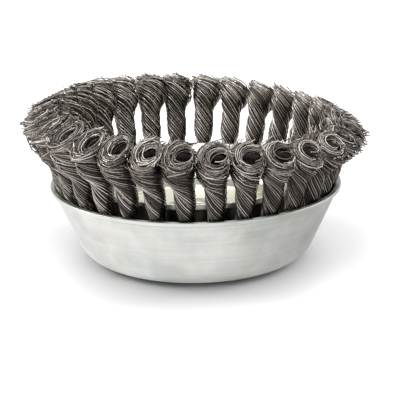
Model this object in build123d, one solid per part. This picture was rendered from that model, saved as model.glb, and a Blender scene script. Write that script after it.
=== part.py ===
from build123d import *
from math import atan2, cos, pi, radians, sin, sqrt, tan
import os

# Knotted wire cup brush, in millimetres.
# The spindle axis is Z and the flat back of the cup lies in the plane z = 0.
# The knots point up and lean outwards. The front of the brush is its -Y side.

# Pressed steel cup
cup_rim_radius = 64.0
cup_height = 33.5
cup_wall_lean = 24.5
cup_sheet = 1.4
cup_corner_radius = 13.5
rim_bead_height = 1.7
rim_bead_proud = 0.45
rim_bead_round = 0.4

# Spindle nut, riveted through the stack of pressed plates
thread_bore_radius = 6.75
thread_lead_in = 0.5
nut_across_flats = 27.0
nut_body_height = 15.1
nut_edge_break = 1.0
nut_spigot_radius = 11.4
nut_collar_radius = 14.2
nut_collar_height = 1.6
nut_collar_round = 1.0

# Flat plate with one hole for each knot
holder_thickness = 2.0
knot_hole_radius = 3.3
holder_ligament = 1.6

# Dished plate that covers the middle
plate_sheet = 1.2
plate_step_width = 1.5
plate_step_height = 3.8
plate_slope_width = 11.6
plate_edge_gap = 3.4
plate_edge_above_rim = 4.0
plate_hem_height = 2.7
plate_hem_width = 1.9
plate_hem_round = 0.6
plate_bend_radius = 1.0

# Knots: each is a bundle of wire looped through the holder and twisted on itself
knot_count = 30
first_knot_angle = -94.0
knot_crown_overhang = 4.4
knot_crown_above_rim = 29.6
knot_crown_fall = 3.9
knot_lean_at_rim = 15.0
knot_mouth_tilt = 31.0
knot_waist = 7.3
knot_belly = 9.2
knot_belly_above_rim = 8.0
knot_flare_start = 12.0
knot_flare_length = 12.5
knot_crown_depth = 18.6
knot_crown_sweep = 1.4
knot_shoulder = 1.6
knot_mouth_width = 8.4
knot_mouth_floor_width = 4.2
knot_mouth_depth = 9.0
knot_lip_drop = 1.2
knot_fork_above_holder = 3.0
knot_leg_width = 5.0
knot_leg_depth = 3.0
knot_ridges = 6
knot_sections_above_rim = 8
knot_stem_groove = 0.85
knot_crown_groove = 0.8
knot_twist_per_mm = 9.5

# Gaps between pieces
fit_clearance = 0.1
knot_clearance = 0.3
leg_clearance = 0.9
knot_spacing = 0.8

wall_slope = tan(radians(cup_wall_lean))
wall_across = cup_sheet / cos(radians(cup_wall_lean))
spigot_hole_radius = nut_spigot_radius + fit_clearance
holder_bottom = cup_sheet + nut_body_height
holder_top = holder_bottom + holder_thickness
plate_floor_top = holder_top + plate_sheet
nut_top = plate_floor_top + nut_collar_height


def cup_inner_radius(height):
    """Radius of the cup's inner wall at a height above its back."""
    return cup_rim_radius - wall_across - (cup_height - height) * wall_slope


# The outer leg of each knot passes between the holder's edge and the cup wall.
leg_room = knot_leg_depth + leg_clearance
holder_radius = cup_inner_radius(holder_bottom - leg_clearance) - leg_room
knot_hole_circle = holder_radius - holder_ligament - knot_hole_radius

# The knots lie against the cup's mouth and overhang it; the plate's edge stays clear of them.
knot_stem_offset = knot_waist / 2 / cos(radians(cup_wall_lean)) + knot_clearance
knot_waist_radius = cup_inner_radius(cup_height) - knot_stem_offset
knot_crown_radius = cup_rim_radius + knot_crown_overhang
plate_edge_radius = knot_waist_radius - knot_waist / 2 - plate_edge_gap
plate_step_radius = plate_edge_radius - plate_slope_width
plate_floor_radius = plate_step_radius - plate_step_width


def revolved(corners, rounding):
    """Solid turned about Z from its section's corners, given as (radius, height).

    The rounding maps the index of a corner to its radius.
    """
    section = Plane.XZ * make_face(Polyline(*corners, close=True))
    for index, radius in rounding.items():
        place = Plane.XZ.from_local_coords(corners[index])
        corner = section.vertices().sort_by_distance(place)[0]
        section = fillet(corner, radius)
    return revolve(section, Axis.Z)


def cup_shell():
    """Pressed cup: flat back, leaning wall and a beaded rim."""
    bead_bottom = cup_height - rim_bead_height
    corners = [
        (spigot_hole_radius, 0),
        (cup_rim_radius - cup_height * wall_slope, 0),
        (cup_rim_radius - rim_bead_height * wall_slope, bead_bottom),
        (cup_rim_radius + rim_bead_proud, bead_bottom),
        (cup_rim_radius + rim_bead_proud, cup_height),
        (cup_inner_radius(cup_height), cup_height),
        (cup_inner_radius(cup_sheet), cup_sheet),
        (spigot_hole_radius, cup_sheet),
    ]
    rounding = {
        1: cup_corner_radius,
        3: rim_bead_round,
        4: rim_bead_round,
        5: rim_bead_round,
        6: cup_corner_radius - cup_sheet,
    }
    return revolved(corners, rounding)


def arbor_nut():
    """Hexagon nut with a spigot at each end; the upper one is riveted over the plates."""
    hexagon = RegularPolygon(nut_across_flats / 2, 6, major_radius=False)
    body = Pos(Z=cup_sheet) * extrude(hexagon, nut_body_height)
    corner_radius = nut_across_flats / sqrt(3)
    envelope = Pos(Z=cup_sheet + nut_body_height / 2) * Cylinder(corner_radius, nut_body_height)
    body = body & chamfer(envelope.edges().filter_by(GeomType.CIRCLE), nut_edge_break)
    spigot = Cylinder(nut_spigot_radius, plate_floor_top, align=(Align.CENTER, Align.CENTER, Align.MIN))
    collar = Cylinder(nut_collar_radius, nut_collar_height, align=(Align.CENTER, Align.CENTER, Align.MIN))
    collar = fillet(collar.edges().group_by(Axis.Z)[-1], nut_collar_round)
    bore = Cylinder(thread_bore_radius, nut_top, align=(Align.CENTER, Align.CENTER, Align.MIN))
    nut = body + spigot + Pos(Z=plate_floor_top) * collar - bore
    mouths = nut.edges().filter_by(GeomType.CIRCLE).filter_by(
        lambda edge: abs(edge.radius - thread_bore_radius) < fit_clearance
    )
    return chamfer(mouths, thread_lead_in)


def knot_holder():
    """Flat plate with a ring of holes just inside its edge."""
    plate = Cylinder(holder_radius, holder_thickness, align=(Align.CENTER, Align.CENTER, Align.MIN))
    plate -= Cylinder(spigot_hole_radius, holder_thickness, align=(Align.CENTER, Align.CENTER, Align.MIN))
    holes = PolarLocations(knot_hole_circle, knot_count, start_angle=first_knot_angle)
    plate -= holes * Cylinder(knot_hole_radius, holder_thickness, align=(Align.CENTER, Align.CENTER, Align.MIN))
    return Pos(Z=holder_bottom) * plate


def inner_plate():
    """Dished cover plate: flat floor, short step, sloping wall and a hemmed edge."""
    step_top = plate_floor_top + plate_step_height
    edge_top = cup_height + plate_edge_above_rim
    hem_inner = plate_edge_radius - plate_hem_width
    slope_angle = atan2(hem_inner - plate_step_radius, edge_top - step_top)
    step_angle = atan2(plate_step_radius - plate_floor_radius, plate_step_height)
    slope_across = plate_sheet / cos(slope_angle)
    step_across = plate_sheet / cos(step_angle)
    hem_bottom = edge_top - plate_hem_height
    hem_root = hem_inner - plate_hem_height * tan(slope_angle) + slope_across
    corners = [
        (spigot_hole_radius, plate_floor_top),
        (plate_floor_radius, plate_floor_top),
        (plate_step_radius, step_top),
        (hem_inner, edge_top),
        (plate_edge_radius, edge_top),
        (plate_edge_radius, hem_bottom),
        (hem_root, hem_bottom),
        (plate_step_radius + slope_across, step_top),
        (plate_floor_radius + step_across, holder_top),
        (spigot_hole_radius, holder_top),
    ]
    rounding = {
        1: plate_bend_radius,
        2: plate_bend_radius + plate_sheet,
        3: plate_hem_round,
        4: plate_hem_round,
        5: plate_hem_round,
        7: plate_bend_radius,
        8: plate_bend_radius + plate_sheet,
    }
    return revolved(corners, rounding)


def ease(amount):
    """Smooth step from 0 to 1."""
    amount = min(1.0, max(0.0, amount))
    return amount * amount * (3 - 2 * amount)


def leaning(angle):
    """Direction in the XZ plane that leans outwards from Z."""
    return Vector(sin(radians(angle)), 0, cos(radians(angle)))


def rope_ring(place, across, deep, twist, groove, aside=0):
    """Corners of a rope's section: ridges and grooves in turn, turned left-handed by the twist.

    The section's middle lies aside from the path, round the cup.
    """
    corners = []
    for index in range(2 * knot_ridges):
        turn = pi * index / knot_ridges - radians(twist)
        sink = groove if index % 2 else 0
        corners.append(place.from_local_coords(
            (aside + (across / 2 - sink) * cos(turn), (deep / 2 - sink) * sin(turn), 0)
        ))
    return corners


def across_path(path, share):
    """Plane square to a knot's path; its X runs round the cup and its Y points outwards."""
    return Plane(path @ share, x_dir=(0, -1, 0), z_dir=path % share)


def leg_ring(radius, height, out_angle):
    """Corners of one half-round section of the loop; its flat side faces the holder."""
    middle = Vector(radius, 0, height)
    outwards = Vector(cos(radians(out_angle)), 0, sin(radians(out_angle))) * knot_leg_depth
    sideways = Vector(0, -knot_leg_width / 2, 0)
    turns = [pi * index / knot_ridges for index in range(knot_ridges + 1)]
    return [middle + sideways * cos(turn) + outwards * sin(turn) for turn in turns]


def strip(first, second):
    """Triangles that join two closed rings with the same number of corners."""
    triangles = []
    for index in range(len(first)):
        following = (index + 1) % len(first)
        triangles.append((first[index], first[following], second[following]))
        triangles.append((first[index], second[following], second[index]))
    return triangles


def wire_knot(angle):
    """One knot at its place round the cup.

    A loop passes round the holder's edge, its two legs join in the stem, and the
    twisted stem opens to a crown that sweeps aside round its hollow mouth, tilted outwards.
    """
    crown_height = cup_height + knot_crown_above_rim - knot_crown_fall * cos(radians(angle))
    fork_height = holder_top + knot_fork_above_holder
    fork = (cup_inner_radius(fork_height) - knot_stem_offset, 0, fork_height)
    waist = (knot_waist_radius, 0, cup_height)
    crown = (knot_crown_radius, 0, crown_height)
    inside = Line(fork, waist)
    outside = Spline(waist, crown, tangents=[leaning(knot_lean_at_rim), leaning(knot_mouth_tilt)])

    crown_across = 2 * knot_crown_radius * sin(pi / knot_count) - knot_spacing
    rings = [
        rope_ring(across_path(inside, 0), knot_leg_width, 2 * knot_leg_depth, 0, 0),
        rope_ring(across_path(inside, 0.5), knot_waist, knot_waist, knot_twist_per_mm * inside.length / 2, 0),
    ]
    for index in range(knot_sections_above_rim + 1):
        share = index / knot_sections_above_rim
        run = outside.length * share
        belly = ease(run / knot_belly_above_rim)
        flare = ease((run - knot_flare_start) / knot_flare_length)
        stem = knot_waist + (knot_belly - knot_waist) * belly
        across = stem + (crown_across - stem) * flare
        deep = stem + (knot_crown_depth - stem) * flare
        groove = knot_stem_groove + (knot_crown_groove - knot_stem_groove) * flare
        if index == knot_sections_above_rim:
            across -= 2 * knot_shoulder
            deep -= 2 * knot_shoulder
        twist = knot_twist_per_mm * (inside.length + run)
        aside = knot_crown_sweep * flare
        rings.append(rope_ring(across_path(outside, share), across, deep, twist, groove, aside))
    mouth = across_path(outside, 1)
    lip = mouth.offset(-knot_lip_drop)
    floor = mouth.offset(-knot_mouth_depth)
    rings.append(rope_ring(lip, knot_mouth_width, knot_mouth_width, twist, 0))
    rings.append(rope_ring(floor, knot_mouth_floor_width, knot_mouth_floor_width, twist, 0))

    outer_gap = holder_radius + knot_clearance
    half_hole = knot_hole_radius - knot_clearance
    inner_gap = knot_hole_circle + sqrt(half_hole ** 2 - (knot_leg_width / 2) ** 2)
    under = holder_bottom - knot_clearance
    fork_ring = rings[0]
    legs = [
        fork_ring[:knot_ridges + 1],
        leg_ring(outer_gap, holder_top, 0),
        leg_ring(outer_gap, under, -45),
        leg_ring(inner_gap, under, -135),
        leg_ring(inner_gap, holder_top, -180),
        [fork_ring[-index] for index in range(knot_ridges + 1)],
    ]

    triangles = []
    for first, second in zip(rings, rings[1:]):
        triangles += strip(first, second)
    for first, second in zip(legs, legs[1:]):
        triangles += strip(first, second)
    faces = [Face(Wire.make_polygon(corners)) for corners in triangles]
    faces.append(Face(Wire.make_polygon(rings[-1])))
    return Rot(Z=angle) * Solid(Shell(faces))


parts = {
    "cup_shell": cup_shell(),
    "arbor_nut": arbor_nut(),
    "knot_holder": knot_holder(),
    "inner_plate": inner_plate(),
}
for knot in range(knot_count):
    knot_angle = first_knot_angle + knot * 360 / knot_count
    parts[f"wire_knot_{knot + 1:02d}"] = wire_knot(knot_angle)

os.makedirs("parts", exist_ok=True)
for name, part in parts.items():
    export_step(part, f"parts/{name}.step")
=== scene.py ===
import math

import bmesh
import bpy
import numpy as np
from mathutils import Matrix, Vector


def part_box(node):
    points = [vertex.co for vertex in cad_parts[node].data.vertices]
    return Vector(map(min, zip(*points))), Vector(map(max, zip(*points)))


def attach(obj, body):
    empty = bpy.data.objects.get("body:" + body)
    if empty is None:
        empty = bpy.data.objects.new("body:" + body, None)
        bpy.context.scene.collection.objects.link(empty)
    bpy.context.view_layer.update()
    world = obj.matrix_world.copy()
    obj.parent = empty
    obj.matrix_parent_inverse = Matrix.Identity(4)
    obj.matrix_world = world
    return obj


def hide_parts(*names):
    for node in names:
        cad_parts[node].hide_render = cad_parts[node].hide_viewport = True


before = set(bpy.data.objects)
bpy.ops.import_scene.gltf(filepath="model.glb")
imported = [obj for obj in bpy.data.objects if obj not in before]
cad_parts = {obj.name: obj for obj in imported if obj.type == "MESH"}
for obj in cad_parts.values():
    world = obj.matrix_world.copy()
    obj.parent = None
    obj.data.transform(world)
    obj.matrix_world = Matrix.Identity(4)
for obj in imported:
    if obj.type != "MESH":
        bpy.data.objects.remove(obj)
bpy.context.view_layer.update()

# Knotted wire cup brush: a pressed zinc cup with a ring of twisted wire knots.
# Lengths are metres. The spindle axis is Z and the front of the brush is its -Y side.
mm = 0.001

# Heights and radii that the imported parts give
rim_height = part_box("cup_shell")[1].z
holder_low, holder_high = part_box("knot_holder")
holder_radius = holder_high.x
holder_bottom = holder_low.z
holder_top = holder_high.z
knot_nodes = sorted(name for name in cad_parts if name.startswith("wire_knot_"))
knot_count = len(knot_nodes)

# Knot bodies, as in the part's source
cup_sheet = 1.4 * mm
cup_wall_lean = math.radians(24.5)
cup_rim_radius = 64.0 * mm
cup_mouth_radius = cup_rim_radius - cup_sheet / math.cos(cup_wall_lean)
first_knot_angle = math.radians(-94.0)
crown_overhang = 4.4 * mm
crown_radius = cup_rim_radius + crown_overhang
crown_above_rim = 29.6 * mm
crown_fall = 3.9 * mm
lean_at_rim = math.radians(15.0)
mouth_tilt = math.radians(31.0)
stem_waist = 7.3 * mm
stem_belly = 9.2 * mm
belly_above_rim = 8.0 * mm
flare_start = 12.0 * mm
flare_length = 12.5 * mm
crown_depth = 18.6 * mm
crown_sweep = 1.4 * mm
crown_gap = 0.2 * mm
leg_width = 5.0 * mm
leg_depth = 3.0 * mm
fork_above_holder = 3.0 * mm
knot_clearance = 0.3 * mm
knot_hole_radius = 3.3 * mm
holder_ligament = 1.6 * mm

# Points along a knot's centre line, in the cup, above its rim and past the crown
points_inside = 20
points_above = 60
points_past = 12
path_past_crown = 6.0 * mm

# How far each crown sways along the ring: the front ones as in the photograph, the others at random
crown_sway = 0.35 * mm
front_crown_sway = {
    "wire_knot_01": -0.9 * mm, "wire_knot_02": -0.8 * mm, "wire_knot_03": -0.9 * mm,
    "wire_knot_04": -1.2 * mm, "wire_knot_05": -0.9 * mm, "wire_knot_06": 0.8 * mm,
    "wire_knot_07": 1.0 * mm, "wire_knot_30": -0.3 * mm, "wire_knot_29": 0.5 * mm,
    "wire_knot_28": 1.0 * mm, "wire_knot_27": 1.3 * mm, "wire_knot_26": 0.9 * mm,
}

# The knots at the back flare later, and catch up with the others by this share of the delay
late_flare = 4.0 * mm
late_flare_catch_up = 0.7

# Wires. Layers go from the skin inwards: share of the section, number of wire ends
wire_radius = 0.26 * mm
layers = ((1.0, 20), (0.77, 20), (0.6, 18), (0.45, 14), (0.3, 12), (0.12, 10))
wire_turn_scatter = 0.03
first_seed = 1000

# Tones of the wires: steps from dark to bright, shape of the beta distribution, and painted paling of the
# knots at the back
tone_steps = 16
tone_spread = (0.9, 1.1)
paling_painted_on_back_knots = 0.3

# Turn of the wires for each millimetre along the knot, and the lengths over which it grows
stem_twist = math.radians(11.2)
flare_twist = math.radians(16.0)
crown_twist = math.radians(160.0)
flare_turn_length = 12.0 * mm
crown_turn_length = 5.0 * mm

# Each knot's twist differs a little, and a wire has a point at every step of its turn
twist_range = (0.97, 1.04)
twist_step = math.radians(26)
fewest_steps = 10

# Hollow of the bundle above the rim, and the slanting mouth that the crown opens to
hollow_share = 0.3
hollow_length = 10.0 * mm
mouth_radius = 3.7 * mm
mouth_range = (0.8, 1.15)
mouth_to_flare = 1.1
mouth_counter_sweep = 0.6
crown_slant = 0.16
slant_range = (0.4, 1.6)

# Notch in the stem where its two legs lie side by side
notch_depth = 0.12
notch_sharpness = 6
notch_run_in = 6.0 * mm

# Dark heart of the bundle. Funnel rings go down from its top: depth, share of the mouth's radius
heart_sides = 16
heart_rings = 26
heart_below_crown = 2.4 * mm
heart_share = 0.88
heart_narrowing = 0.42
heart_narrows_below_crown = 9.0 * mm
heart_narrowing_length = 6.0 * mm
heart_funnel = ((0.0, 1.15), (2.5 * mm, 0.95), (5.0 * mm, 0.6), (7.5 * mm, 0.2))

# Raggedness of the crowns, which grows to the left side of the ring, and the lengths of knot over
# which the wires come loose and coil
ruffle_range = (1.1, 1.7)
left_ruffle = 1.5
loosening_length = 26.0 * mm
coil_length = 6.0 * mm

# Crimp: each wire sways a little round the bundle and in and out of it, most of all in its coils
sway_turn = 0.02
loose_sway_turn = 0.06
sway_turn_length = 5.1 * mm
sway_share = 0.015
loose_sway_share = 0.04
sway_share_length = 4.3 * mm
coil_shift = (-0.12, 0.18)
coil_wave = 0.16
coil_wave_rate = 0.9
furthest_share = 1.12

# Cut ends: where their coils stop below the crown's middle, and on which side they gather
end_below_crown = 0.4 * mm
skin_end_drop = 1.5 * mm
end_scatter = 0.6 * mm
cut_end_turn = math.radians(150)
skin_end_turn = math.radians(50)
cut_end_spread = math.radians(45)
gather_inside = 0.8
gather_less_at_skin = 0.3

# Some wires of the skin end on the side towards the spindle, and more of those stick out
skin_from = 0.7
inner_end_chance = 0.35
inner_end_turn = math.radians(70)
inner_end_power = 1.5
other_end_power = 3

# Straight length that sticks out past the last coil, and its direction
free_end = 0.6 * mm
skin_free_end = 1.2 * mm
stray_free_end = 3.0 * mm
free_end_lift = 0.35
free_end_outwards = (-0.05, 0.3)
free_end_scatter = 0.08
tiny = 1e-9

# View of the photograph
camera_elevation = math.radians(15.98)
camera_distance = 0.768
camera_roll = math.radians(0.95)
focal_pixels = 1729.0
image_pixels = 400.0
rim_centre_pixel = (195.6, 180.1)
sensor_width = 36.0
camera_reach = 20.0

# Studio: what the lamps look at, the light from all sides, and the floor
middle_of_object = (0, 0, 0.04)
even_light = 0.28
floor_radius = 3.0
floor_below_cup = 0.2 * mm


def linear(hex_colour):
    """sRGB hex colour as linear RGBA."""
    parts = [int(hex_colour[i:i + 2], 16) / 255 for i in (1, 3, 5)]
    return [p / 12.92 if p <= 0.04045 else ((p + 0.055) / 1.055) ** 2.4 for p in parts] + [1.0]


def add_node(tree, kind, settings=None, links=None):
    """Adds a node; settings are its properties, input values and ramp stops, links its wired inputs.

    A Mix node's inputs are numbered: 0 is the factor, 2 and 3 mix numbers, 6 and 7 mix colours.
    """
    node = tree.nodes.new(kind)
    for name, value in (settings or {}).items():
        if name == "stops":
            stops = node.color_ramp.elements
            while len(stops) < len(value):
                stops.new(0.5)
            for stop, (position, colour) in zip(stops, value):
                stop.position = position
                stop.color = linear(colour)
        elif isinstance(name, str) and hasattr(node, name):
            setattr(node, name, value)
        else:
            node.inputs[name].default_value = value
    for name, output in (links or {}).items():
        tree.links.new(output, node.inputs[name])
    return node


def new_material(name):
    """Empty material with a Principled shader wired to its output."""
    material = bpy.data.materials.new(name)
    material.use_nodes = True
    tree = material.node_tree
    tree.nodes.clear()
    shader = add_node(tree, "ShaderNodeBsdfPrincipled")
    add_node(tree, "ShaderNodeOutputMaterial", links={"Surface": shader.outputs["BSDF"]})
    return material, tree, shader


def ease(amount):
    """Smooth step from 0 to 1."""
    amount = np.clip(amount, 0, 1)
    return amount * amount * (3 - 2 * amount)


def pressed_zinc(name, low, high, roughness, painted_shade_line_height=None):
    """Bright zinc plating on pressed sheet: pale, satin, faintly mottled and stained, with fine lines
    round the axis from the press tool and a slight unevenness under the light. The cup has a grey line of
    painted shade under its rolled rim, where a crease would be shaded."""
    material, tree, shader = new_material(name)
    line_length = 71.4 * mm
    line_pitch = 1.111 * mm
    place = add_node(tree, "ShaderNodeTexCoord").outputs["Object"]
    cloud = add_node(tree, "ShaderNodeTexNoise", {"Scale": 1 / (22 * mm), "Detail": 3.0, "Roughness": 0.55},
                     {"Vector": place})
    drawn = add_node(tree, "ShaderNodeMapping",
                     {"Scale": (1 / line_length, 1 / line_length, 1 / line_pitch)}, {"Vector": place})
    lines = add_node(tree, "ShaderNodeTexNoise", {"Scale": 1.0, "Detail": 4.0, "Roughness": 0.6},
                     {"Vector": drawn.outputs["Vector"]})
    grain = add_node(tree, "ShaderNodeTexNoise", {"Scale": 1 / (0.9 * mm), "Detail": 2.0},
                     {"Vector": place})
    mottle = add_node(tree, "ShaderNodeMath", {"operation": "MULTIPLY_ADD", 1: 0.35},
                      {0: lines.outputs["Fac"], 2: cloud.outputs["Fac"]})
    shade = add_node(tree, "ShaderNodeValToRGB", {"stops": [(0.5, low), (0.85, high)]},
                     {"Fac": mottle.outputs["Value"]}).outputs["Color"]
    stain = add_node(tree, "ShaderNodeTexNoise",
                     {"Scale": 1 / (13 * mm), "Detail": 5.0, "Roughness": 0.65, "Distortion": 0.6},
                     {"Vector": place})
    amount = add_node(tree, "ShaderNodeMapRange", {"From Min": 0.48, "From Max": 0.72, "To Max": 0.32},
                      {"Value": stain.outputs["Fac"]})
    shade = add_node(tree, "ShaderNodeMix", {"data_type": "RGBA", 7: linear("#c9b9a0")},
                     {0: amount.outputs["Result"], 6: shade}).outputs[2]
    # Painted shade: a grey line round the cup just below its rim stands for the shadow of a crease
    if painted_shade_line_height:
        height = add_node(tree, "ShaderNodeSeparateXYZ", links={"Vector": place}).outputs["Z"]
        off = add_node(tree, "ShaderNodeMath", {"operation": "SUBTRACT", 1: painted_shade_line_height}, {0: height})
        away = add_node(tree, "ShaderNodeMath", {"operation": "ABSOLUTE"}, {0: off.outputs["Value"]})
        painted_crease_shade = add_node(tree, "ShaderNodeMapRange", {"From Max": 0.4 * mm, "To Min": 0.5, "To Max": 0.0},
                          {"Value": away.outputs["Value"]})
        shade = add_node(tree, "ShaderNodeMix", {"data_type": "RGBA", 7: linear("#6d6c6a")},
                         {0: painted_crease_shade.outputs["Result"], 6: shade}).outputs[2]
    rough = add_node(tree, "ShaderNodeMapRange", {"To Min": roughness - 0.06, "To Max": roughness + 0.08},
                     {"Value": cloud.outputs["Fac"]})
    relief = add_node(tree, "ShaderNodeMath", {"operation": "MULTIPLY_ADD", 1: 0.5},
                      {0: grain.outputs["Fac"], 2: lines.outputs["Fac"]})
    bump = add_node(tree, "ShaderNodeBump", {"Strength": 0.1, "Distance": 0.05 * mm},
                    {"Height": relief.outputs["Value"]})
    tree.links.new(shade, shader.inputs["Base Color"])
    tree.links.new(rough.outputs["Result"], shader.inputs["Roughness"])
    tree.links.new(bump.outputs["Normal"], shader.inputs["Normal"])
    shader.inputs["Metallic"].default_value = 1.0
    return material


def plain_steel(name, low, high, roughness):
    """Bare steel, rolled or machined: grey and dull, with a fine uneven grain."""
    material, tree, shader = new_material(name)
    place = add_node(tree, "ShaderNodeTexCoord").outputs["Object"]
    grain = add_node(tree, "ShaderNodeTexNoise", {"Scale": 1 / (2.5 * mm), "Detail": 5.0, "Roughness": 0.6},
                     {"Vector": place})
    shade = add_node(tree, "ShaderNodeValToRGB", {"stops": [(0.3, low), (0.7, high)]},
                     {"Fac": grain.outputs["Fac"]})
    bump = add_node(tree, "ShaderNodeBump", {"Strength": 0.25, "Distance": 0.05 * mm},
                    {"Height": grain.outputs["Fac"]})
    tree.links.new(shade.outputs["Color"], shader.inputs["Base Color"])
    tree.links.new(bump.outputs["Normal"], shader.inputs["Normal"])
    shader.inputs["Metallic"].default_value = 1.0
    shader.inputs["Roughness"].default_value = roughness
    return material


def drawn_wire():
    """Hard-drawn crimped steel wire, unplated: grey with a brown cast and a narrow bright line along
    each wire; neighbouring wires differ in tone. The knots at the back are painted paler, as painted light."""
    material, tree, shader = new_material("drawn_steel_wire")
    tone = add_node(tree, "ShaderNodeAttribute", {"attribute_name": "wire_tone"})
    shade = add_node(tree, "ShaderNodeValToRGB",
                     {"stops": [(0.0, "#5c5450"), (0.5, "#948c85"), (1.0, "#ded6ce")]},
                     {"Fac": tone.outputs["Fac"]})
    place = add_node(tree, "ShaderNodeTexCoord").outputs["Object"]
    patina = add_node(tree, "ShaderNodeTexNoise", {"Scale": 1 / (1.6 * mm), "Detail": 3.0},
                      {"Vector": place})
    rough = add_node(tree, "ShaderNodeMapRange", {"To Min": 0.14, "To Max": 0.3},
                     {"Value": patina.outputs["Fac"]})
    tree.links.new(shade.outputs["Color"], shader.inputs["Base Color"])
    tree.links.new(rough.outputs["Result"], shader.inputs["Roughness"])
    shader.inputs["Metallic"].default_value = 1.0
    return material


def knot_path(azimuth):
    """Centre line of a knot in its own plane, from the fork up.

    Gives the run along the line, its points as radius and height, its lean from the vertical, and the
    runs at which it passes the cup's rim and reaches the middle of the crown.
    """
    crown_height = rim_height + crown_above_rim - crown_fall * math.cos(azimuth)
    fork_height = holder_top + fork_above_holder
    offset = stem_waist / 2 / math.cos(cup_wall_lean) + knot_clearance
    fork_inwards = (rim_height - fork_height) * math.tan(cup_wall_lean)
    fork = np.array([cup_mouth_radius - fork_inwards - offset, fork_height])
    waist = np.array([cup_mouth_radius - offset, rim_height])
    crown = np.array([crown_radius, crown_height])
    inside = fork + (waist - fork) * np.linspace(0, 1, points_inside)[:, None]
    share = np.linspace(0, 1, points_above)[1:, None]
    chord = np.linalg.norm(crown - waist)
    start = np.array([math.sin(lean_at_rim), math.cos(lean_at_rim)]) * chord
    mouth_axis = np.array([math.sin(mouth_tilt), math.cos(mouth_tilt)])
    end = mouth_axis * chord
    above = ((2 * share ** 3 - 3 * share ** 2 + 1) * waist + (share ** 3 - 2 * share ** 2 + share) * start
             + (3 * share ** 2 - 2 * share ** 3) * crown + (share ** 3 - share ** 2) * end)
    first_past = path_past_crown / points_past
    past = crown + mouth_axis * np.linspace(first_past, path_past_crown, points_past)[:, None]
    line = np.vstack([inside, above, past])
    step = np.diff(line, axis=0)
    run = np.concatenate([[0], np.cumsum(np.linalg.norm(step, axis=1))])
    lean = np.arctan2(*np.gradient(line, run, axis=0).T)
    rim_run = run[len(inside) - 1]
    crown_run = run[len(inside) + len(above) - 1]
    return run, line, lean, rim_run, crown_run


def knot_form(azimuth):
    """One knot's body, with each profile as an array over the run along its centre line."""
    run, line, lean, rim_run, crown_run = knot_path(azimuth)
    above = run - rim_run
    late = late_flare * max(0.0, math.sin(azimuth))
    full_flare = flare_length - late * late_flare_catch_up
    belly = ease(above / belly_above_rim)
    flare = ease((above - flare_start - late) / full_flare)
    mouth = ease((above - flare_start - late) / (full_flare * mouth_to_flare))
    joined = ease(run / (rim_run / 2))
    stem = stem_waist / 2 + (stem_belly - stem_waist) / 2 * belly
    crown_across = 2 * crown_radius * math.sin(math.pi / knot_count) - crown_gap
    across = np.where(above > 0, stem + (crown_across / 2 - stem) * flare,
                      leg_width / 2 + (stem_waist - leg_width) / 2 * joined)
    deep = np.where(above > 0, stem + (crown_depth / 2 - stem) * flare,
                    leg_depth + (stem_waist / 2 - leg_depth) * joined)
    to_crown = run - crown_run
    rate = stem_twist + (flare_twist - stem_twist) * ease(to_crown / flare_turn_length + 1)
    rate += (crown_twist - flare_twist) * np.clip(to_crown / crown_turn_length + 1, 0, 1) ** 3
    twist = np.concatenate([[0], np.cumsum((rate[1:] + rate[:-1]) / 2 * np.diff(run) / mm)])
    return {"run": run, "line": line, "lean": lean, "across": across, "deep": deep, "twist": twist,
            "aside": crown_sweep * flare, "hollow": hollow_share * ease(above / hollow_length),
            "mouth": mouth, "rim_run": rim_run, "crown_run": crown_run}


def at(form, name, run):
    """Value of one of a knot's profiles at a run."""
    return np.interp(run, form["run"], form[name])


def middle_of_knot(form, run):
    """Middle of the bundle at a run: radius, height, lean, and sway along the ring."""
    radius = np.interp(run, form["run"], form["line"][:, 0])
    height = np.interp(run, form["run"], form["line"][:, 1])
    sway = form["sway"] * ease((run - form["rim_run"]) / (form["crown_run"] - form["rim_run"]))
    return radius, height, at(form, "lean", run), sway


def on_section(form, run, turn, share):
    """Points in the knot's own plane frame: X away from the spindle, Y round the cup, Z up.
    The share goes from the middle of the bundle, 0, to its skin, 1."""
    x, z, lean, sway = middle_of_knot(form, run)
    across = at(form, "across", run) - wire_radius
    deep = at(form, "deep", run) - wire_radius
    mouth = at(form, "mouth", run)
    hollow = at(form, "hollow", run)
    spread = hollow + (1 - hollow) * share
    # In the mouth, the share goes from its edge outwards instead
    open_radius = form["mouth_radius"]
    half_across = across * spread * (1 - mouth) + (open_radius + (across - open_radius) * share) * mouth
    half_deep = deep * spread * (1 - mouth) + (open_radius + (deep - open_radius) * share) * mouth
    swept = (1 + mouth_counter_sweep) * share - mouth_counter_sweep
    aside = at(form, "aside", run) * (1 - mouth + mouth * swept)
    round_cup = sway - aside - half_across * np.cos(turn)
    outwards = half_deep * np.sin(turn)
    rise = form["slant"] * mouth * (round_cup - sway)
    x = x + outwards * np.cos(lean) + rise * np.sin(lean)
    return np.stack([x, round_cup, z - outwards * np.sin(lean) + rise * np.cos(lean)], axis=-1)


def notch(form, run, turn):
    """How far the bundle's skin sinks in between the two legs that were twisted together."""
    between = np.abs(np.cos(turn)) ** notch_sharpness
    return notch_depth * (1 - at(form, "mouth", run)) * between * ease(run / notch_run_in)


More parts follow.
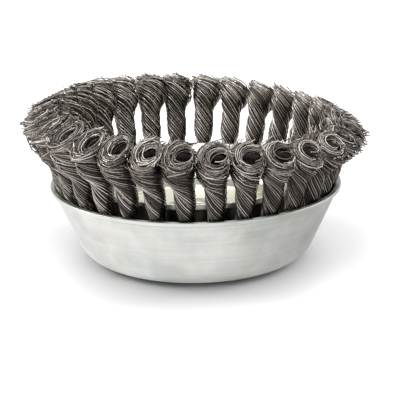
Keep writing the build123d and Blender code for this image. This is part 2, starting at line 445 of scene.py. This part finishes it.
def wire_end(form, rng, turn, share):
    """Points of one wire from the fork up to its cut end.

    The ends gather on one side of the crown, the outer ones more loosely.
    """
    ruffle = form["ruffle"]
    end_run = form["crown_run"] - end_below_crown - skin_end_drop * share ** 2
    end_run += rng.normal(0, 1) * end_scatter
    twist_end = at(form, "twist", end_run)
    cut_turn = cut_end_turn + skin_end_turn * share + rng.normal(0, 1) * cut_end_spread * ruffle
    inner_end = share > skin_from and rng.uniform(0, 1) < inner_end_chance
    if inner_end:
        cut_turn += inner_end_turn
    miss = (turn - twist_end - cut_turn + math.pi) % (2 * math.pi) - math.pi
    twist_end += miss * (gather_inside - gather_less_at_skin * share)
    stray_share = rng.uniform(0, 1) ** (inner_end_power if inner_end else other_end_power)
    free = free_end + skin_free_end * share + stray_free_end * share * stray_share
    steps = max(fewest_steps, int(twist_end / twist_step))
    twists = np.linspace(0, twist_end, steps + 1)
    run = np.interp(twists, form["twist"], form["run"])
    phase = rng.uniform(0, 2 * math.pi, 2)
    loose = ease((run - form["rim_run"]) / loosening_length)
    coil = ease((run - form["crown_run"]) / coil_length + 1)
    crimp = (sway_turn + loose_sway_turn * loose) * np.sin(run / sway_turn_length + phase[0])
    turns = turn - twists + crimp
    wander = sway_share + loose_sway_share * loose * ruffle
    shares = share + wander * np.sin(run / sway_share_length + phase[1])
    shares += rng.uniform(*coil_shift) * coil * ruffle
    shares += rng.uniform(0, coil_wave) * coil ** 2 * np.sin(twists * coil_wave_rate + phase[0])
    shares = np.clip(shares, 0.0, furthest_share)
    points = on_section(form, run, turns, shares * (1 - notch(form, run, turn)))
    along = points[-1] - points[-2]
    along /= np.linalg.norm(along)
    away = points[-1] - on_section(form, run[-1], 0.0, 0.0)
    away /= np.linalg.norm(away) + tiny
    lean = at(form, "lean", run[-1])
    lift = np.array([math.sin(lean), 0, math.cos(lean)]) * rng.uniform(0, free_end_lift)
    stray = along + away * rng.uniform(*free_end_outwards)
    stray += rng.normal(0, free_end_scatter, 3) * ruffle + lift
    stray /= np.linalg.norm(stray)
    return np.vstack([points, points[-1] + stray * free])


def folded_wire(form, rng, turn, share):
    """One wire of the bundle: a cut end, down the stem, round the holder's edge, and back up."""
    side = share * math.cos(turn) * leg_width / 2
    lift = share * abs(math.sin(turn)) * leg_depth
    outer_gap = holder_radius + knot_clearance
    hole_circle = holder_radius - holder_ligament - knot_hole_radius
    half_hole = knot_hole_radius - knot_clearance
    inner_gap = hole_circle + math.sqrt(half_hole ** 2 - (leg_width / 2) ** 2)
    under = holder_bottom - knot_clearance
    # Radius and height of the loop's inner side, and in degrees the way that its wires pile up
    stations = [(outer_gap, holder_top, 0), (outer_gap, under, -45), (inner_gap, under, -135),
                (inner_gap, holder_top, -180)]
    loop = [
        (radius + lift * math.cos(math.radians(way)), -side, height + lift * math.sin(math.radians(way)))
        for radius, height, way in stations
    ]
    outer = wire_end(form, rng, turn, share)
    inner = wire_end(form, rng, -turn, share)
    return np.vstack([outer[::-1], loop, inner])


def heart_of_knot(form):
    """Dark heart of the bundle: a closed tube whose top turns down into a funnel, the hollow mouth."""
    around = np.arange(heart_sides) * 2 * math.pi / heart_sides
    runs = np.linspace(0, form["crown_run"] - heart_below_crown, heart_rings)
    rings = []
    for run in runs:
        turns = around - at(form, "twist", min(run, form["crown_run"] - coil_length))
        narrow = ease((run - form["crown_run"] + heart_narrows_below_crown) / heart_narrowing_length)
        share = (heart_share - heart_narrowing * narrow) * (1 - notch(form, run, around))
        rings.append(on_section(form, np.full(heart_sides, run), turns, share))
    for depth, width in heart_funnel:
        x, z, lean, sway = middle_of_knot(form, runs[-1] - depth)
        radius = form["mouth_radius"] * width
        outwards = radius * np.sin(turns)
        ring = [x + outwards * np.cos(lean), sway - radius * np.cos(turns), z - outwards * np.sin(lean)]
        rings.append(np.stack(ring, axis=-1))
    mesh = bmesh.new()
    bottom = bmesh.ops.create_circle(mesh, cap_ends=True, segments=heart_sides, radius=1.0)["verts"]
    for vert, place in zip(bottom, rings[0]):
        vert.co = place
    edges = list(mesh.edges)
    for ring in rings[1:]:
        made = bmesh.ops.extrude_edge_only(mesh, edges=edges)["geom"]
        edges = [g for g in made if isinstance(g, bmesh.types.BMEdge) and all(v in made for v in g.verts)]
        verts = [g for g in made if isinstance(g, bmesh.types.BMVert)]
        for vert, place in zip(verts, ring):
            vert.co = place
    bmesh.ops.contextual_create(mesh, geom=edges)
    bmesh.ops.recalc_face_normals(mesh, faces=mesh.faces)
    return mesh


def wires_of_knot(node, form, rng, painted_paling, material):
    """All wires of a knot as one mesh. Each wire's tone is the number of its material slot."""
    curve = bpy.data.curves.new(node + "_wires", "CURVE")
    curve.dimensions = "3D"
    curve.bevel_depth = wire_radius
    curve.bevel_resolution = 0
    curve.use_fill_caps = True
    for slot in range(tone_steps):
        curve.materials.append(material)
    for share, ends in layers:
        for place in range(ends // 2):
            turn = (2 * place + 1) * math.pi / ends + rng.normal(0, wire_turn_scatter)
            points = folded_wire(form, rng, turn, share)
            spline = curve.splines.new("POLY")
            spline.points.add(len(points) - 1)
            flat = np.ones((len(points), 4))
            flat[:, :3] = points
            spline.points.foreach_set("co", flat.ravel())
            # Painted light: the tones of the knots at the back are lifted by a painted paling
            tone = rng.beta(*tone_spread) + painted_paling
            spline.material_index = min(tone_steps - 1, int(tone_steps * tone))
    bearer = bpy.data.objects.new(node + "_curve", curve)
    bpy.context.scene.collection.objects.link(bearer)
    bpy.context.view_layer.update()
    shape = bpy.data.meshes.new_from_object(bearer.evaluated_get(bpy.context.evaluated_depsgraph_get()))
    bpy.data.objects.remove(bearer)
    return shape


def wire_knot_piece(node, index, material, heart):
    """One knot of real wires in place of its CAD node. Painted light makes the knots at the back paler."""
    azimuth = first_knot_angle + index * 2 * math.pi / knot_count
    rng = np.random.default_rng(first_seed + index)
    form = knot_form(azimuth)
    form["twist"] = form["twist"] * rng.uniform(*twist_range)
    form["sway"] = front_crown_sway.get(node, rng.normal(0, 1) * crown_sway)
    form["mouth_radius"] = mouth_radius * rng.uniform(*mouth_range)
    form["slant"] = crown_slant * rng.uniform(*slant_range)
    form["ruffle"] = rng.uniform(*ruffle_range) + left_ruffle * max(0.0, -math.cos(azimuth)) ** 2

    # Painted light: the wires of the knots at the back get paler tones
    shape = wires_of_knot(node, form, rng, paling_painted_on_back_knots * max(0.0, math.sin(azimuth)), material)
    # The heart takes the slot after the wires', and the slot numbers become the tone attribute, painted
    # paling included
    whole = heart_of_knot(form)
    for face in whole.faces:
        face.material_index = tone_steps
    whole.from_mesh(shape)
    wire_tone = whole.faces.layers.float.new("wire_tone")
    for face in whole.faces:
        face[wire_tone] = face.material_index / (tone_steps - 1)
        face.material_index = 1 if face.material_index == tone_steps else 0
        face.smooth = True
    shape.clear_geometry()
    shape.materials.clear()
    shape.materials.append(material)
    shape.materials.append(heart)
    whole.to_mesh(shape)
    whole.free()
    shape.transform(Matrix.Rotation(azimuth, 4, "Z"))
    piece = bpy.data.objects.new(node + "_twisted_wires", shape)
    bpy.context.scene.collection.objects.link(piece)
    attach(piece, "root")
    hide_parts(node)


def photograph_camera():
    """Camera at the photograph's viewing angle. It looks at the rim's centre, and its image is shifted."""
    forward = Vector((0, math.cos(camera_elevation), -math.sin(camera_elevation)))
    right = Vector((1, 0, 0))
    up = right.cross(forward)
    rolled_right = right * math.cos(camera_roll) - up * math.sin(camera_roll)
    rolled_up = right * math.sin(camera_roll) + up * math.cos(camera_roll)
    position = Vector((0, 0, rim_height)) - forward * camera_distance
    data = bpy.data.cameras.new("camera")
    data.sensor_width = sensor_width
    data.lens = focal_pixels / image_pixels * sensor_width
    data.shift_x = (image_pixels / 2 - rim_centre_pixel[0]) / image_pixels
    data.shift_y = (rim_centre_pixel[1] - image_pixels / 2) / image_pixels
    data.clip_end = camera_reach
    camera = bpy.data.objects.new("camera", data)
    camera.matrix_world = Matrix((
        (rolled_right.x, rolled_up.x, -forward.x, position.x),
        (rolled_right.y, rolled_up.y, -forward.y, position.y),
        (rolled_right.z, rolled_up.z, -forward.z, position.z),
        (0, 0, 0, 1),
    ))
    bpy.context.scene.collection.objects.link(camera)
    bpy.context.scene.camera = camera


def soft_light(name, place, size, watts):
    """Square soft box that looks at the object."""
    data = bpy.data.lights.new(name, "AREA")
    data.size = size
    data.energy = watts
    lamp = bpy.data.objects.new(name, data)
    lamp.location = place
    towards = Vector(middle_of_object) - Vector(place)
    lamp.rotation_euler = towards.to_track_quat("-Z", "Y").to_euler()
    bpy.context.scene.collection.objects.link(lamp)


def seen_in_metal(tree, rays):
    """1 for a ray that metal reflects and that has met nothing matt on its way, otherwise 0."""
    direct = add_node(tree, "ShaderNodeMath", {"operation": "LESS_THAN", 1: 0.5},
                      {0: rays.outputs["Diffuse Depth"]})
    reflected = add_node(tree, "ShaderNodeMath", {"operation": "MULTIPLY"},
                         {0: rays.outputs["Is Glossy Ray"], 1: direct.outputs["Value"]})
    return reflected.outputs["Value"]


def white_studio():
    """World of a white studio: an even light on the object, and white to the eye and through glass.

    Metal sees a left wall that darkens to the right, and white beyond the object, beyond the camera
    and overhead, all a little brighter on the left.
    """
    world = bpy.data.worlds.new("white_studio")
    world.use_nodes = True
    tree = world.node_tree
    tree.nodes.clear()
    rays = add_node(tree, "ShaderNodeLightPath")
    way = add_node(tree, "ShaderNodeSeparateXYZ",
                   links={"Vector": add_node(tree, "ShaderNodeTexCoord").outputs["Generated"]})
    walls = add_node(tree, "ShaderNodeMapRange", {"From Min": -1.0, "To Min": 0.75, "To Max": 0.0},
                     {"Value": way.outputs["X"]})
    backdrop = add_node(tree, "ShaderNodeMapRange", {"From Min": 0.1, "From Max": 0.8},
                        {"Value": way.outputs["Y"]})
    front = add_node(tree, "ShaderNodeMapRange", {"From Min": -0.15, "From Max": -0.8},
                     {"Value": way.outputs["Y"]})
    ceiling = add_node(tree, "ShaderNodeMapRange", {"From Min": 0.15, "From Max": 0.6},
                       {"Value": way.outputs["Z"]})
    room = walls.outputs["Result"]
    for part in (backdrop, front, ceiling):
        room = add_node(tree, "ShaderNodeMath", {"operation": "MAXIMUM"},
                        {0: room, 1: part.outputs["Result"]}).outputs["Value"]
    fade = add_node(tree, "ShaderNodeMapRange", {"From Min": -1.0, "To Min": 1.1, "To Max": 0.7},
                    {"Value": way.outputs["X"]})
    room = add_node(tree, "ShaderNodeMath", {"operation": "MULTIPLY"}, {0: room, 1: fade.outputs["Result"]})
    level = add_node(tree, "ShaderNodeMix", {"data_type": "FLOAT", 2: even_light},
                     {0: seen_in_metal(tree, rays), 3: room.outputs["Value"]})
    around = add_node(tree, "ShaderNodeBackground", {"Color": linear("#f7f9fb")},
                      {"Strength": level.outputs[0]})
    behind = add_node(tree, "ShaderNodeBackground", {"Color": linear("#ffffff"), "Strength": 1.0})
    seen = add_node(tree, "ShaderNodeMath", {"operation": "MAXIMUM"},
                    {0: rays.outputs["Is Camera Ray"], 1: rays.outputs["Is Transmission Ray"]})
    both = add_node(tree, "ShaderNodeMixShader", links={
        0: seen.outputs["Value"], 1: around.outputs["Background"], 2: behind.outputs["Background"]})
    add_node(tree, "ShaderNodeOutputWorld", links={"Surface": both.outputs["Shader"]})
    bpy.context.scene.world = world


def white_paper():
    """White background paper, matt and without a pattern, that keeps a soft shadow.

    To the eye it is painted whiter outside an oval round the cup, as painted light, and far away it is
    white whatever light falls there.
    Metal sees a painted glow on the paper, bright on the left and fading to the right: painted light
    and shade for the cup's reflection.
    """
    material = bpy.data.materials.new("white_paper_floor")
    material.use_nodes = True
    tree = material.node_tree
    tree.nodes.clear()
    rays = add_node(tree, "ShaderNodeLightPath")
    place = add_node(tree, "ShaderNodeTexCoord").outputs["Object"]
    # Painted light: to the eye the paper is made whiter outside an oval round the cup
    oval = add_node(tree, "ShaderNodeMapping", {"Scale": (1.6, 1.0, 1.0)}, {"Vector": place})
    from_axis = add_node(tree, "ShaderNodeVectorMath", {"operation": "LENGTH"},
                         {0: oval.outputs["Vector"]}).outputs["Value"]
    near = add_node(tree, "ShaderNodeMapRange", {"From Min": 0.045, "From Max": 0.1, "To Max": 0.7},
                    {"Value": from_axis})
    far = add_node(tree, "ShaderNodeMapRange", {"From Min": 0.3}, {"Value": from_axis})
    # Painted light and shade for metal: the paper glows for reflected rays, strongly on the left and
    # faintly on the right
    side = add_node(tree, "ShaderNodeSeparateXYZ", links={"Vector": place})
    shade = add_node(tree, "ShaderNodeMapRange",
                     {"From Min": -0.02, "From Max": 0.07, "To Min": 0.55, "To Max": 0.03},
                     {"Value": side.outputs["X"]})
    to_eye = add_node(tree, "ShaderNodeMath", {"operation": "MULTIPLY"},
                      {0: rays.outputs["Is Camera Ray"], 1: near.outputs["Result"]})
    to_metal = add_node(tree, "ShaderNodeMath", {"operation": "MULTIPLY"},
                        {0: seen_in_metal(tree, rays), 1: shade.outputs["Result"]})
    # The glow is the even white of the far paper to the eye, and the painted glow for metal
    glow_level = add_node(tree, "ShaderNodeMath", {"operation": "MULTIPLY_ADD"}, {
        0: rays.outputs["Is Camera Ray"], 1: far.outputs["Result"], 2: to_metal.outputs["Value"]})
    matt = add_node(tree, "ShaderNodeBsdfDiffuse", {"Color": linear("#f4f4f4")})
    white = add_node(tree, "ShaderNodeBsdfDiffuse", {"Color": linear("#ffffff")})
    black = add_node(tree, "ShaderNodeBsdfDiffuse", {"Color": linear("#000000")})
    painted_whitening = add_node(tree, "ShaderNodeMixShader", links={
        0: to_eye.outputs["Value"], 1: black.outputs["BSDF"], 2: white.outputs["BSDF"]})
    glow = add_node(tree, "ShaderNodeEmission", {"Color": linear("#ffffff")},
                    {"Strength": glow_level.outputs["Value"]})
    paper = add_node(tree, "ShaderNodeAddShader",
                     links={0: matt.outputs["BSDF"], 1: painted_whitening.outputs["Shader"]})
    paper_with_painted_light = add_node(tree, "ShaderNodeAddShader",
                         links={0: paper.outputs["Shader"], 1: glow.outputs["Emission"]})
    add_node(tree, "ShaderNodeOutputMaterial", links={"Surface": paper_with_painted_light.outputs["Shader"]})
    return material


def paper_floor():
    """Round sheet of white paper under the cup."""
    mesh = bmesh.new()
    bmesh.ops.create_circle(mesh, cap_ends=True, segments=96, radius=floor_radius)
    data = bpy.data.meshes.new("floor")
    mesh.to_mesh(data)
    mesh.free()
    data.materials.append(white_paper())
    floor = bpy.data.objects.new("floor", data)
    floor.location.z = -floor_below_cup
    bpy.context.scene.collection.objects.link(floor)


# Finishes of the imported parts
# Height of the grey line of painted shade under the cup's rim
cup_painted_shade_line_height = rim_height - 2.0 * mm
finishes = {
    "cup_shell": pressed_zinc("zinc_plated_cup_steel", "#c5c8c6", "#e4e4e0", 0.42, cup_painted_shade_line_height),
    "inner_plate": pressed_zinc("zinc_plated_inner_plate", "#cfcfc2", "#ecebe2", 0.30),
    "arbor_nut": plain_steel("machined_nut_steel", "#9a9892", "#c9c7c2", 0.34),
    "knot_holder": plain_steel("mill_steel_plate", "#74706b", "#a09c96", 0.5),
}
for node, finish in finishes.items():
    part_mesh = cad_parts[node].data
    part_mesh.materials.clear()
    part_mesh.materials.append(finish)

# The heart is painted shade: a dark tube that stands for the inner wires, which hardly any light reaches
wire_finish = drawn_wire()
painted_shade_heart = plain_steel("shaded_wire_heart", "#3a3633", "#544e49", 0.6)
for index, node in enumerate(knot_nodes):
    wire_knot_piece(node, index, wire_finish, painted_shade_heart)

# Camera, lamps, world and floor
photograph_camera()
soft_light("left_soft_box", place=(-0.95, 0.1, 0.62), size=0.4, watts=3.3)
soft_light("right_soft_box", place=(0.95, 0.25, 0.6), size=0.5, watts=3.0)
soft_light("top_soft_box", place=(0.05, -0.06, 1.2), size=1.5, watts=6.6)
soft_light("front_soft_box", place=(-0.15, -0.55, 1.1), size=0.5, watts=2.0)
white_studio()
paper_floor()

bpy.context.scene.view_settings.view_transform = "Standard"
